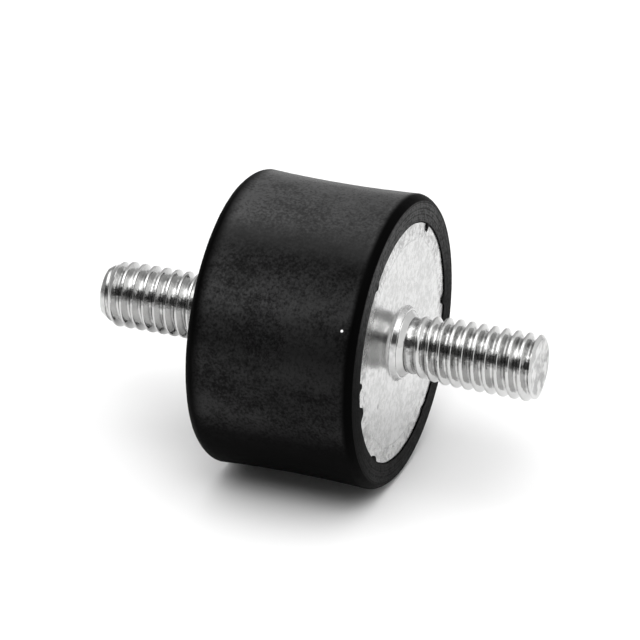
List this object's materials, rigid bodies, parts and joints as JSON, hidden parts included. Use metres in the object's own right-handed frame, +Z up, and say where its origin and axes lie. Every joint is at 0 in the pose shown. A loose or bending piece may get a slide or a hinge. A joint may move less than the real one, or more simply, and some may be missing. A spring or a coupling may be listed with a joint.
{
  "type": "bobbin vibration mount",
  "caption": "Waisted rubber cylinder bonded between steel end plates, with a threaded stud standing out of each end, to carry a machine and damp its vibration.",
  "frame": {"origin": "centre of the rubber element, on the common axis of the studs", "axes": "+X along the studs towards the front stud, +Z up with the mount lying on the side of its rubber, +Y across"},
  "size_m": [0.054, 0.035, 0.035],
  "materials": {
    "rubber": "matt moulded black rubber",
    "plate_steel": "bright zinc-plated pressed steel",
    "stud_steel": "bright zinc-plated rolled thread"
  },
  "bodies": {
    "root": {"rubber_element": "rubber", "front_plate": "plate_steel", "rear_plate": "plate_steel", "front_stud": "stud_steel", "rear_stud": "stud_steel"}
  },
  "joints": []
}
